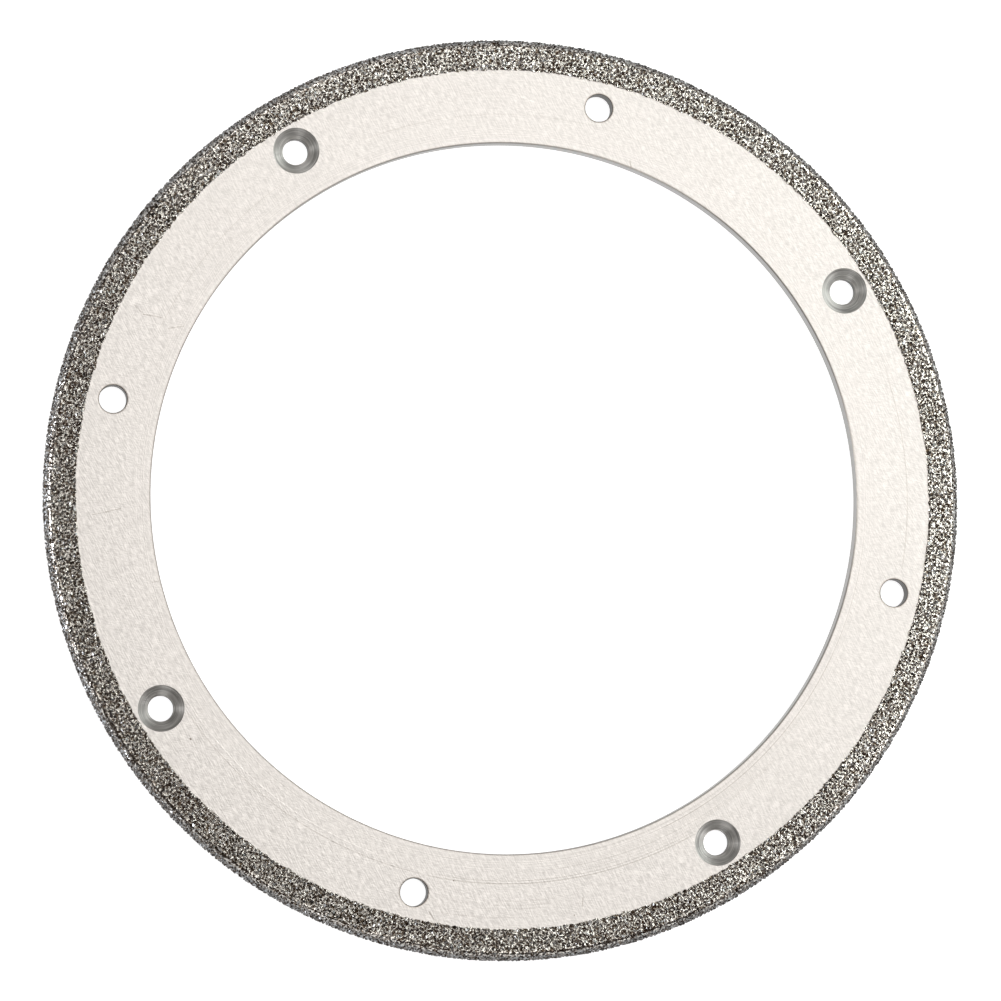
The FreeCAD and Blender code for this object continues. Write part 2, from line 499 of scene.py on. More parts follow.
def nearest_crystal(grit, crystals, along, angle):
    """Distance from each point of a rows by columns grid to the edge of its nearest crystal.

    Only the crystals in the nine cells round a point are looked at.
    """
    row_count, column_count = crystals.along.shape
    total = sum(rim_lengths(grit))
    radius = rim_path(grit, 0, along)[0]
    row = np.floor(along / total * row_count).astype(int)
    nearest = np.full(np.broadcast(along, angle).shape, np.inf)
    for row_step in (-1, 0, 1):
        r = np.clip(row + row_step, 0, row_count - 1)
        column = np.floor(angle / (2 * math.pi) * column_count - 0.5 * (r % 2)).astype(int)
        for column_step in (-1, 0, 1, 2):
            c = (column + column_step) % column_count
            turn = np.abs(angle - crystals.angle[r, c])
            turn = np.minimum(turn, np.abs(2 * math.pi - turn))
            away = np.hypot(along - crystals.along[r, c], radius * turn) - crystals.radius[r, c]
            nearest = np.minimum(nearest, away)
    return nearest


def bond_mesh(grit, crystals):
    """Nickel over the rim: a closed ring whose outside swells round the crystals.

    Outside, the depth below the layer's outline is the bond's depth, less a swell that dies
    away from the nearest crystal as exp(-distance / width), plus fine lumps. The nickel is
    thicker and smoother on the shoulder, where the plating current crowds, and a little
    thinner beyond it. The ring closes along its lower edge, its smooth seat on the steel and
    its inner wall.
    """
    rng = np.random.default_rng(BOND_SEED)
    total = sum(rim_lengths(grit))
    rows = round(total / BOND_STEP)
    angle = np.linspace(0, 2 * math.pi, BOND_COLUMNS, endpoint=False)[None, :]
    along = np.linspace(0, total, rows + 1)[:, None]
    away = nearest_crystal(grit, crystals, along, angle)
    land, arc = rim_lengths(grit)[:2]
    build_up = np.exp(-(((along - land - 0.4 * arc) / SHOULDER_BUILD_UP_WIDTH) ** 2))
    swell = SWELL_HEIGHT * np.exp(-np.clip(away, 0, None) / SWELL_WIDTH)
    lumps = rng.normal(0, grit.bond_roughness, away.shape)
    beyond = np.clip((along - land - arc) / THINNING_WIDTH, 0, 1)
    level = grit.bond_depth - SHOULDER_BUILD_UP * build_up + THINNING * beyond
    depth = level - swell + lumps * (1 - 0.5 * build_up)
    depth = np.clip(depth, NICKEL_COVER, LAYER - NICKEL_FLOOR)
    r, z, facing = rim_path(grit, depth, np.broadcast_to(along, away.shape))
    edge = rng.normal(0, EDGE_RAGGEDNESS, (1, BOND_COLUMNS))
    ragged = (edge + np.roll(edge, 1) + np.roll(edge, 2)) / 2
    r = r + ragged * np.clip(1 - along / EDGE_RAGGED_WIDTH, 0, 1)
    seat_along = np.linspace(total, 0, SEAT_ROWS)[:, None]
    seat_r, seat_z, _ = rim_path(grit, LAYER, np.broadcast_to(seat_along, (SEAT_ROWS, BOND_COLUMNS)))
    seat_r[-1] = r[0]
    r = np.concatenate([r, seat_r])
    z = np.concatenate([z, seat_z])
    points = np.stack([r * np.cos(angle), r * np.sin(angle), z], axis=-1)
    count = len(points)
    number = np.arange(count * BOND_COLUMNS).reshape(count, BOND_COLUMNS)
    below, beside = np.roll(number, -1, axis=0), np.roll(number, -1, axis=1)
    quads = np.stack([number, below, np.roll(below, -1, axis=1), beside], axis=-1).reshape(-1, 4)
    mesh = mesh_from_faces("nickel_bond", points.reshape(-1, 3), quads.ravel(), np.full(len(quads), 4))
    mesh.shade_smooth()
    mesh.set_sharp_from_angle(angle=math.radians(58))
    return mesh


def cube_directions():
    """The eight directions to a cube's corners."""
    sign = np.array([1.0, -1.0])
    return np.stack(np.meshgrid(sign, sign, sign, indexing="ij"), axis=-1).reshape(-1, 3)


def signed_permutations(numbers, even_only):
    """Every order of three numbers with every choice of signs, or those with an even count of minuses."""
    orders = np.array(numbers)[[[0, 1, 2], [1, 2, 0], [2, 0, 1], [0, 2, 1], [1, 0, 2], [2, 1, 0]]]
    signs = cube_directions()
    if even_only:
        signs = signs[np.prod(signs, axis=1) > 0]
    return np.unique((orders[:, None] * signs[None]).reshape(-1, 3), axis=0)


def crystal_faces(corners, facings):
    """Corner numbers of each flat of a convex crystal, in order round the flat's facing.

    A flat's corners are those that reach furthest along its facing.
    """
    faces = []
    for facing in facings:
        reach = corners @ facing
        flat = np.flatnonzero(reach > reach.max() - 1e-6)
        middle = corners[flat].mean(0)
        side = np.cross(facing, corners[flat[0]] - middle)
        spoke = corners[flat] - middle
        turn = np.arctan2(spoke @ side * np.linalg.norm(spoke[0]) / np.linalg.norm(side), spoke @ spoke[0])
        faces.append(flat[np.argsort(turn)])
    return faces


def crystal_habits():
    """The two crystal forms: a cube cut to its octahedron, and a cut tetrahedron."""
    cube_flats = np.concatenate([np.eye(3), -np.eye(3)])
    cut_cube = signed_permutations((1, 1, 0), False) / math.sqrt(2)
    cut_tetrahedron = signed_permutations((3, 1, 1), True) / math.sqrt(11)
    return [
        (cut_cube, crystal_faces(cut_cube, np.concatenate([cube_directions(), cube_flats]))),
        (cut_tetrahedron, crystal_faces(cut_tetrahedron, cube_directions())),
    ]


def random_turns(rng, count):
    """Rotation matrices spread evenly over all turns, from random unit quaternions."""
    quaternions = rng.normal(size=(4, count))
    w, x, y, z = quaternions / np.linalg.norm(quaternions, axis=0)
    return np.stack([
        np.stack([1 - 2 * (y * y + z * z), 2 * (x * y - w * z), 2 * (x * z + w * y)], -1),
        np.stack([2 * (x * y + w * z), 1 - 2 * (x * x + z * z), 2 * (y * z - w * x)], -1),
        np.stack([2 * (x * z - w * y), 2 * (y * z + w * x), 1 - 2 * (x * x + y * y)], -1),
    ], axis=-2)


def crystal_mesh(name, habit, centres, facing, angle, radii, rng):
    """Closed crystals of one form, each stretched and turned at random and flattened to the layer."""
    corners, faces = habit
    count = len(centres)
    stretch = rng.uniform(0.78, 1.22, (count, 1, 3))
    stretched = corners[None] * stretch
    turned = np.einsum("nij,nkj->nki", random_turns(rng, count), stretched) * radii[:, None, None]
    outward = np.stack([np.sin(facing) * np.cos(angle), np.sin(facing) * np.sin(angle), np.cos(facing)], -1)
    height = np.einsum("nki,ni->nk", turned, outward)
    turned = turned - CRYSTAL_FLATTENING * height[..., None] * outward[:, None, :]
    points = (centres[:, None] + turned).reshape(-1, 3)
    one = np.concatenate(faces)
    corner_numbers = (one[None] + len(corners) * np.arange(count)[:, None]).ravel()
    mesh = mesh_from_faces(name, points, corner_numbers, np.tile([len(face) for face in faces], count))
    tone = mesh.attributes.new("tone", "FLOAT", "POINT")
    tone.data.foreach_set("value", np.repeat(rng.random(count), len(corners)).astype(np.float32))
    mesh.shade_flat()
    return mesh


# Materials


def add_node(tree, kind, inputs=None, **settings):
    """Adds a node with its settings. An input is a value, a socket, or a node for its first output."""
    node = tree.nodes.new(kind)
    for name, value in settings.items():
        setattr(node, name, value)
    for name, value in (inputs or {}).items():
        if isinstance(value, bpy.types.Node):
            value = next(output for output in value.outputs if output.enabled)
        if isinstance(value, bpy.types.NodeSocket):
            tree.links.new(value, node.inputs[name])
        else:
            node.inputs[name].default_value = value
    return node


def new_material(name):
    """Empty material, and its node tree."""
    material = bpy.data.materials.new(name)
    material.use_nodes = True
    material.node_tree.nodes.clear()
    return material, material.node_tree


# Texture of the ground face
EARLIER_PASS_TURN = math.radians(48)    # from the last grinding pass
EARLIER_PASS_LENGTH = 0.7               # of its marks, as a share of the last pass's
EARLIER_PASS_SHARE = 0.42               # of the texture
TURNED_BAND = 6 * MM                    # beside the bore, where turning marks show through
MOTTLE_SIZE = 14 * MM
LINE_END_FADE = math.radians(3)
HOLE_LINE_WIDTH = 0.26 * MM

# Lines left by the lathe on the face: radius in millimetres, first and last angle round the
# wheel, width, and darkness, which is below zero for a bright line, a painted highlight
Line = namedtuple("Line", "radius start end width darkness")
LATHE_LINES = (
    Line(83.3, 3, 82, 0.30, 0.10),
    Line(82.7, 2, 34, 0.30, -0.05),
    Line(83.2, 70, 81, 0.24, 0.10),
    Line(82.5, 71, 82, 0.24, 0.08),
    Line(83.15, 93, 125, 0.26, 0.18),
    Line(83.3, 181, 226, 0.30, 0.20),
    Line(83.35, 225, 269, 0.30, 0.28),
    Line(82.75, 226, 269, 0.26, 0.19),
    Line(81.95, 150, 180, 0.28, -0.08),
    Line(81.95, 178, 220, 0.32, -0.17),
    Line(82.1, 246, 272, 0.22, 0.12),
    Line(81.5, 250, 286, 0.24, 0.13),
    Line(80.8, 244, 276, 0.24, 0.15),
    Line(80.2, 246, 284, 0.24, 0.14),
    Line(79.7, 252, 300, 0.22, 0.12),
    Line(78.2, 246, 292, 0.24, 0.14),
    Line(78.96, 262, 304, 0.34, 0.26),
    Line(78.96, 300, 322, 0.30, 0.12),
    Line(81.2, 268, 286, 0.26, 0.12),
    Line(88.2, 317, 348, 0.34, 0.26),
    Line(87.3, 343, 359, 0.28, 0.12),
    Line(88.4, 344, 360, 0.28, 0.15),
    Line(89.3, 344, 359, 0.26, 0.10),
    Line(87.1, 235, 246, 0.24, 0.14),
    Line(88.0, 235, 246, 0.24, 0.13),
    Line(88.75, 234, 245, 0.24, 0.12),
    Line(90.6, 227, 241, 0.26, 0.14),
    Line(88.0, 57, 64, 0.22, 0.08),
    Line(88.8, 58, 64, 0.22, 0.08),
    Line(92.7, 92, 236, 0.30, -0.06),
)

# Scratches on the face, each between two (radius, angle) points, with a width and a darkness that is below
# zero for a bright scratch, a painted highlight
Scratch = namedtuple("Scratch", "start end width darkness")
SCRATCHES = (
    Scratch((78.75, 121.1), (81.5, 122.5), 0.16, 0.32),
    Scratch((83.8, 121.5), (87.6, 122.3), 0.16, 0.38),
    Scratch((87.6, 122.3), (90.4, 121.7), 0.15, 0.30),
    Scratch((83.5, 150.6), (86.6, 151.05), 0.15, 0.38),
    Scratch((86.6, 151.05), (89.6, 151.35), 0.14, 0.28),
    Scratch((87.9, 249.1), (89.7, 248.8), 0.16, 0.45),
    Scratch((90.9, 227.6), (92.3, 228.4), 0.20, 0.40),
    Scratch((77.3, 37.7), (78.4, 38.2), 0.20, 0.60),
    Scratch((77.6, 162.4), (78.9, 162.3), 0.16, 0.35),
    Scratch((83.2, 288.6), (85.7, 288.5), 0.15, 0.18),
    Scratch((85.9, 53.6), (87.2, 56.0), 0.18, -0.12),
    Scratch((87.2, 56.0), (88.3, 59.0), 0.18, -0.12),
)

# Specks on the face: radius, angle round the wheel, size, darkness
Speck = namedtuple("Speck", "radius angle size darkness")
SPECKS = (
    Speck(86.1, 185.9, 0.58, 0.75),
    Speck(83.45, 230.3, 0.40, 0.70),
    Speck(91.25, 247.5, 0.38, 0.70),
    Speck(85.0, 160.5, 0.28, 0.30),
    Speck(90.9, 194.2, 0.28, 0.40),
    Speck(78.6, 212.3, 0.26, 0.30),
    Speck(79.4, 81.5, 0.26, 0.30),
)


def on_face(radius, angle):
    """Point of the face at a radius in millimetres and an angle in degrees, in metres."""
    turn = math.radians(angle)
    return Vector((math.cos(turn), math.sin(turn), 0)) * radius * MM


def grinding_marks(tree, steel, flat):
    """Height of the grinding marks: noise drawn out along two sets of passes.

    The strong set runs along the grinding direction. The fainter one is left from an earlier
    pass that crossed it.
    """
    sets = []
    for turn, length in ((0, 1.0), (EARLIER_PASS_TURN, EARLIER_PASS_LENGTH)):
        lay = add_node(tree, "ShaderNodeMapping", {
            "Vector": flat, "Rotation": (0, 0, -steel.grain_direction - turn),
        })
        size = (1 / (steel.grain_length * length), 1 / steel.grain_width, 1)
        scaled = add_node(tree, "ShaderNodeVectorMath", {0: lay, 1: size}, operation="MULTIPLY")
        sets.append(add_node(tree, "ShaderNodeTexNoise", {
            "Vector": scaled, "Scale": 1.0, "Detail": 1.0, "Roughness": 0.5,
        }).outputs["Fac"])
    return add_node(tree, "ShaderNodeMix", {0: EARLIER_PASS_SHARE, 2: sets[0], 3: sets[1]})


def line_darkness(tree, flat, radius, line):
    """Darkness of a lathe line: it fades from its middle to its width, and toward both ends."""
    middle = math.radians((line.start + line.end) / 2)
    half = math.radians((line.end - line.start) / 2)
    fade = min(LINE_END_FADE, half / 2)
    away = add_node(tree, "ShaderNodeMath", {0: radius, 1: line.radius * MM}, operation="SUBTRACT")
    away = add_node(tree, "ShaderNodeMath", {0: away}, operation="ABSOLUTE")
    across = add_node(tree, "ShaderNodeMapRange", {
        "Value": away, "From Min": line.width * MM / 2, "From Max": line.width * MM / 8,
    }, interpolation_type="SMOOTHSTEP")
    unit = add_node(tree, "ShaderNodeVectorMath", {0: flat}, operation="NORMALIZE")
    toward_middle = add_node(tree, "ShaderNodeVectorMath", {
        0: unit, 1: (math.cos(middle), math.sin(middle), 0),
    }, operation="DOT_PRODUCT")
    within = add_node(tree, "ShaderNodeMapRange", {
        "Value": toward_middle.outputs["Value"],
        "From Min": math.cos(half), "From Max": math.cos(half - fade), "To Max": line.darkness,
    })
    return add_node(tree, "ShaderNodeMath", {0: across, 1: within}, operation="MULTIPLY")


def scratch_darkness(tree, flat, scratch):
    """Darkness of a scratch: it fades from the straight line between its ends to its width."""
    start, end = on_face(*scratch.start), on_face(*scratch.end)
    run = end - start
    from_start = add_node(tree, "ShaderNodeVectorMath", {0: flat, 1: start}, operation="SUBTRACT")
    share = add_node(tree, "ShaderNodeVectorMath", {
        0: from_start, 1: run / run.length_squared,
    }, operation="DOT_PRODUCT")
    share = add_node(tree, "ShaderNodeClamp", {0: share.outputs["Value"]})
    foot = add_node(tree, "ShaderNodeVectorMath", {0: run, 3: share}, operation="SCALE")
    away = add_node(tree, "ShaderNodeVectorMath", {0: from_start, 1: foot}, operation="DISTANCE")
    return add_node(tree, "ShaderNodeMapRange", {
        "Value": away.outputs["Value"], "From Min": scratch.width * MM, "From Max": 0,
        "To Max": scratch.darkness,
    })


def speck_darkness(tree, flat, speck):
    """Darkness of a round speck, with a soft edge."""
    away = add_node(tree, "ShaderNodeVectorMath", {
        0: flat, 1: on_face(speck.radius, speck.angle),
    }, operation="DISTANCE")
    return add_node(tree, "ShaderNodeMapRange", {
        "Value": away.outputs["Value"], "From Min": speck.size * MM / 2, "From Max": speck.size * MM / 5,
        "To Max": speck.darkness,
    }, interpolation_type="SMOOTHSTEP")


def edge_darkness(tree, steel, flat, radius):
    """Thin dark lines round the plain holes, and a fainter one round the bore."""
    edge = PLAIN_HOLE_RADIUS + steel.hole_edge_break
    lines = []
    for index in range(1, HOLE_COUNT, 2):
        centre = on_face(PITCH_RADIUS / MM, 360 * index / HOLE_COUNT)
        away = add_node(tree, "ShaderNodeVectorMath", {0: flat, 1: centre}, operation="DISTANCE")
        lines.append(add_node(tree, "ShaderNodeMapRange", {
            "Value": away.outputs["Value"], "From Min": edge + HOLE_LINE_WIDTH, "From Max": edge,
            "To Max": 0.8,
        }))
    lines.append(add_node(tree, "ShaderNodeMapRange", {
        "Value": radius, "From Min": BORE_RADIUS + 0.45 * MM, "From Max": BORE_RADIUS + 0.15 * MM,
        "To Max": 0.5,
    }))
    return lines


def face_darkness(tree, steel, flat, radius, height):
    """Sum of the darkness of every mark on the countersunk face, and nothing below it."""
    marks = [line_darkness(tree, flat, radius, line) for line in LATHE_LINES]
    marks += [scratch_darkness(tree, flat, scratch) for scratch in SCRATCHES]
    marks += [speck_darkness(tree, flat, speck) for speck in SPECKS]
    marks += edge_darkness(tree, steel, flat, radius)
    total = marks[0]
    for mark in marks[1:]:
        total = add_node(tree, "ShaderNodeMath", {0: total, 1: mark}, operation="ADD")
    on_top = add_node(tree, "ShaderNodeMapRange", {
        "Value": height, "From Min": THICKNESS / 2, "From Max": THICKNESS * 0.95,
    })
    return add_node(tree, "ShaderNodeMath", {0: total, 1: on_top}, operation="MULTIPLY")


def ground_steel(steel):
    """Ground steel: a flat, satin, nearly white reflection with fine straight grinding marks.

    The marks all run one way, as a surface grinder leaves them, and turning marks show through
    beside the bore. The countersunk face also has circles from the lathe, scratches and specks, the bright
    ones painted highlights.
    """
    material, tree = new_material("ground_steel")
    place = add_node(tree, "ShaderNodeTexCoord").outputs["Object"]
    parts = add_node(tree, "ShaderNodeSeparateXYZ", {0: place})
    flat = add_node(tree, "ShaderNodeVectorMath", {0: place, 1: (1, 1, 0)}, operation="MULTIPLY")
    radius = add_node(tree, "ShaderNodeVectorMath", {0: flat}, operation="LENGTH").outputs["Value"]
    ground = grinding_marks(tree, steel, flat)
    pitches = add_node(tree, "ShaderNodeMath", {0: radius, 1: 1 / steel.tool_pitch}, operation="MULTIPLY")
    turned = add_node(tree, "ShaderNodeTexNoise", {
        "W": pitches, "Scale": 1.0, "Detail": 2.0,
    }, noise_dimensions="1D").outputs["Fac"]
    near_bore = add_node(tree, "ShaderNodeMapRange", {
        "Value": radius, "From Min": BORE_RADIUS, "From Max": BORE_RADIUS + TURNED_BAND,
        "To Min": 0.38, "To Max": 0.10,
    })
    texture = add_node(tree, "ShaderNodeMix", {0: near_bore, 2: ground, 3: turned})
    darkness = face_darkness(tree, steel, flat, radius, parts.outputs["Z"])

    # Brightness of the reflection: 1, a few percent of marks and mottle, and up to double where
    # the darkness is below zero, a painted highlight on the bright lines and scratches
    fine = add_node(tree, "ShaderNodeMapRange", {
        "Value": texture, "From Min": 0.39, "From Max": 0.61, "To Min": 0.85, "To Max": 1.09,
    })
    mottle = add_node(tree, "ShaderNodeTexNoise", {
        "Vector": flat, "Scale": 1 / MOTTLE_SIZE, "Detail": 2.0, "Roughness": 0.5,
    }).outputs["Fac"]
    broad = add_node(tree, "ShaderNodeMapRange", {
        "Value": mottle, "From Min": 0.3, "From Max": 0.7, "To Min": 0.988, "To Max": 1.012,
    })
    # Painted highlight: bright lines and scratches raise the steel's colour up to double
    bright_line_highlight = add_node(tree, "ShaderNodeMapRange", {
        "Value": darkness, "From Min": -1, "From Max": 0, "To Min": 2, "To Max": 1,
    })
    bright = add_node(tree, "ShaderNodeMath", {0: fine, 1: broad}, operation="MULTIPLY")
    bright = add_node(tree, "ShaderNodeMath", {0: bright, 1: bright_line_highlight}, operation="MULTIPLY")
    tinted = add_node(tree, "ShaderNodeVectorMath", {
        0: tuple(steel.face_colour), 3: bright,
    }, operation="SCALE")
    colour = add_node(tree, "ShaderNodeMix", {
        0: darkness, 6: tinted, 7: tuple(steel.stain_colour) + (1,),
    }, data_type="RGBA", clamp_factor=True)
    roughness = add_node(tree, "ShaderNodeMapRange", {
        "Value": texture, "From Min": 0.3, "From Max": 0.7, "To Min": 0.38, "To Max": 0.30,
    })
    relief = add_node(tree, "ShaderNodeMath", {0: texture, 1: darkness}, operation="SUBTRACT")
    bump = add_node(tree, "ShaderNodeBump", {"Height": relief, "Distance": 0.04 * MM, "Strength": 0.8})
    lay = add_node(tree, "ShaderNodeTangent", direction_type="UV_MAP", uv_map="Lay")
    shader = add_node(tree, "ShaderNodeBsdfPrincipled", {
        "Base Color": colour, "Metallic": 1.0, "Roughness": roughness, "Anisotropic": 0.3,
        "Normal": bump, "Tangent": lay,
    })
    add_node(tree, "ShaderNodeOutputMaterial", {"Surface": shader})
    return material


def turned_steel(name, colour, tool_pitch, roughness, anisotropy, depth):
    """Turned steel: grooves that the tool left round a wall, which draw highlights out across them.

    The grooves follow the wall's own UV map: the angle across, and the length down in steps of
    10 mm, as wall_patch writes it.
    """
    material, tree = new_material(name)
    lay = add_node(tree, "ShaderNodeUVMap", uv_map="Lay").outputs["UV"]
    # A groove keeps its form for a third of a turn, and its height is noise down the wall
    size = (3, 10 * MM / tool_pitch, 0)
    scaled = add_node(tree, "ShaderNodeVectorMath", {0: lay, 1: size}, operation="MULTIPLY")
    grooves = add_node(tree, "ShaderNodeTexNoise",
                       {"Vector": scaled, "Scale": 1.0, "Detail": 3.0, "Roughness": 0.6}).outputs["Fac"]
    shade = add_node(tree, "ShaderNodeMapRange", {
        "Value": grooves, "From Min": 0.38, "From Max": 0.62, "To Min": 0.62, "To Max": 1.12,
    })
    tinted = add_node(tree, "ShaderNodeVectorMath", {0: tuple(colour), 3: shade}, operation="SCALE")
    bump = add_node(tree, "ShaderNodeBump", {"Height": grooves, "Distance": depth, "Strength": 0.7})
    tangent = add_node(tree, "ShaderNodeTangent", direction_type="UV_MAP", uv_map="Lay")
    shader = add_node(tree, "ShaderNodeBsdfPrincipled", {
        "Base Color": tinted, "Metallic": 1.0, "Roughness": roughness, "Anisotropic": anisotropy,
        "Anisotropic Rotation": 0.25, "Normal": bump, "Tangent": tangent,
    })
    add_node(tree, "ShaderNodeOutputMaterial", {"Surface": shader})
    return material


LUMP_SIZE = 0.50 * MM       # width of a lump of nickel
LUMP_HEIGHT = 0.40 * MM


def plated_nickel(grit):
    """Electroplated nickel: lumps that catch the light in flecks, with painted shade, darker and browner,
    in the hollows.

    Its lumps are lower on the shoulder, and the bevel and the side take a darker, bluer colour, painted
    shade.
    """
    material, tree = new_material("plated_nickel")
    place = add_node(tree, "ShaderNodeTexCoord").outputs["Object"]
    lumps = add_node(tree, "ShaderNodeTexNoise", {
        "Vector": place, "Scale": 1 / LUMP_SIZE, "Detail": 1.6, "Roughness": 0.5,
    }).outputs["Fac"]
    unshaded_lump_tops = add_node(tree, "ShaderNodeMapRange", {"Value": lumps, "From Min": 0.35, "From Max": 0.62})
    flat = add_node(tree, "ShaderNodeVectorMath", {0: place, 1: (1, 1, 0)}, operation="MULTIPLY")
    radius = add_node(tree, "ShaderNodeVectorMath", {0: flat}, operation="LENGTH").outputs["Value"]
    land_end = WHEEL_RADIUS - grit.bevel_width
    shoulder = land_end + 0.5 * MM
    from_shoulder = add_node(tree, "ShaderNodeMath", {0: radius, 1: shoulder}, operation="SUBTRACT")
    from_shoulder = add_node(tree, "ShaderNodeMath", {0: from_shoulder}, operation="ABSOLUTE")
    unevenness = add_node(tree, "ShaderNodeMapRange", {
        "Value": from_shoulder, "From Min": 0.3 * MM, "From Max": 0.7 * MM, "To Min": 0.35, "To Max": 1.0,
    })
    on_bevel = add_node(tree, "ShaderNodeMapRange", {
        "Value": radius, "From Min": land_end + 0.8 * MM, "From Max": land_end + 1.4 * MM,
    })
    # Painted shade: the bevel and the side take the darker, bluer bevel colour
    plating = add_node(tree, "ShaderNodeMix", {
        0: on_bevel, 6: tuple(grit.nickel_colour) + (1,), 7: tuple(grit.bevel_shade_colour) + (1,),
    }, data_type="RGBA")
    # Painted shade: the hollows between the lumps take the darker, browner colour
    tinted = add_node(tree, "ShaderNodeMix", {
        0: unshaded_lump_tops, 6: tuple(grit.hollow_shade_colour) + (1,), 7: plating.outputs[2],
    }, data_type="RGBA")
    bump = add_node(tree, "ShaderNodeBump", {
        "Height": lumps, "Distance": LUMP_HEIGHT, "Strength": unevenness,
    })
    shader = add_node(tree, "ShaderNodeBsdfPrincipled", {
        "Base Color": tinted.outputs[2], "Metallic": 1.0, "Roughness": 0.2, "Normal": bump,
    })
    add_node(tree, "ShaderNodeOutputMaterial", {"Surface": shader})
    return material


def boron_nitride(grit):
    """Cubic boron nitride: hard brown-black crystals whose flats glint."""
    material, tree = new_material("cubic_boron_nitride")
    tone = add_node(tree, "ShaderNodeAttribute", attribute_name="tone").outputs["Fac"]
    colour = add_node(tree, "ShaderNodeMix", {
        0: tone, 6: tuple(grit.crystal_dark) + (1,), 7: tuple(grit.crystal_light) + (1,),
    }, data_type="RGBA")
    shader = add_node(tree, "ShaderNodeBsdfPrincipled", {
        "Base Color": colour, "Metallic": 0.0, "Roughness": 0.18, "IOR": 2.1,
    })
    add_node(tree, "ShaderNodeOutputMaterial", {"Surface": shader})
    return material


def light_table(colour, glow):
    """Matt white acrylic, lit a little from below so that it shows white, and clear from underneath."""
    material, tree = new_material("light_table")
    shader = add_node(tree, "ShaderNodeBsdfPrincipled", {
        "Base Color": tuple(colour) + (1,), "Roughness": 0.9, "Specular IOR Level": 0.0,
        "Emission Color": (1, 1, 1, 1), "Emission Strength": glow,
    })
    from_below = add_node(tree, "ShaderNodeNewGeometry").outputs["Backfacing"]
    clear = add_node(tree, "ShaderNodeBsdfTransparent")
    either = add_node(tree, "ShaderNodeMixShader", {0: from_below, 1: shader, 2: clear})
    add_node(tree, "ShaderNodeOutputMaterial", {"Surface": either})
    return material


# Stage

# A lamp stands at its azimuth, elevation and distance about the wheel's centre. Azimuths are in
# the picture: 0 is its right and 90 its top. A grid narrows a lamp's beam, given as its full
# angle, and the beam's middle falls on the wheel's plane at the aim: a distance from the centre
# and an azimuth.
Softbox = namedtuple("Softbox", "name azimuth elevation distance width height radiance beam aim tint")
SOFTBOXES = (
    Softbox("overhead_softbox", 32, 80, 1.5, 0.9, 0.9, 2.12, 180, (0, 0), "#FFFEFB"),
    Softbox("right_softbox", 28, 39, 0.50, 0.62, 0.14, 1.29, 60, (0.13, 34), "#F1F8F5"),
    Softbox("upper_softbox", 108, 39, 0.50, 0.20, 0.14, 0.34, 40, (0.16, 108), "#FFFFFF"),
    Softbox("right_lamp", -26, 24, 0.60, 0.18, 0.30, 0.33, 36, (0.21, -30), "#FFFFFF"),
    Softbox("left_lamp", 178, 54, 0.90, 0.18, 0.24, 1.5, 180, (0, 0), "#FFFFFF"),
    Softbox("lower_lamp", 258, 24, 0.90, 0.40, 0.30, 2.4, 180, (0, 0), "#FFFFFF"),
    Softbox("left_low_lamp", 184, 9, 0.90, 0.16, 0.30, 24.0, 180, (0, 0), "#F4F8FF"),
    Softbox("left_fill_lamp", 180, 12, 0.90, 0.16, 0.30, 6.0, 180, (0, 0), "#FFFFFF"),
)
ROOM_COLOUR = "#33291F"
HORIZON_COLOUR = "#A0A2A6"
BACKDROP_COLOUR = "#E4E4E4"
HORIZON_BAND = (4, 22)              # degrees above the horizon where its colour fades into the room's
FLOOR_HALF_WIDTH = 4.0
FLOOR_GAP = 0.05 * MM               # between the table and the wheel
TABLE_GLOW = 0.95
RIM_LAMPS = ("left_low_lamp",)      # flagged so that they light the plated rim alone
RIM_PIECES = ("nickel_bond", *CRYSTAL_NAMES)


def add_softbox(box, picture_right):
    """Rectangular lamp at its azimuth and elevation about the wheel's centre, turned to its aim."""
    azimuth = math.radians(box.azimuth) + picture_right
    elevation = math.radians(box.elevation)
    side = Vector((math.cos(azimuth), math.sin(azimuth), 0))
    place = (side * math.cos(elevation) + Vector((0, 0, math.sin(elevation)))) * box.distance
    lamp = bpy.data.lights.new(box.name, "AREA")
    lamp.shape = "RECTANGLE"
    lamp.size, lamp.size_y = box.width, box.height
    lamp.spread = math.radians(box.beam)
    lamp.energy = math.pi * box.width * box.height * box.radiance
    lamp.color = linear(box.tint)
    holder = bpy.data.objects.new(box.name, lamp)
    holder.location = place
    holder.rotation_mode = "QUATERNION"
    reach, aim_azimuth = box.aim
    aim_turn = math.radians(aim_azimuth) + picture_right
    aim = Vector((math.cos(aim_turn), math.sin(aim_turn), 0)) * reach
    holder.rotation_quaternion = (place - aim).to_track_quat("Z", "Y")
    holder.visible_camera = False
    bpy.context.scene.collection.objects.link(holder)
    if box.name in RIM_LAMPS:
        # Without its flag this lamp would burn out the flat face in views from the other side
        lit = bpy.data.collections.new(box.name)
        for name in RIM_PIECES:
            lit.objects.link(bpy.data.objects[name])
        holder.light_linking.receiver_collection = lit


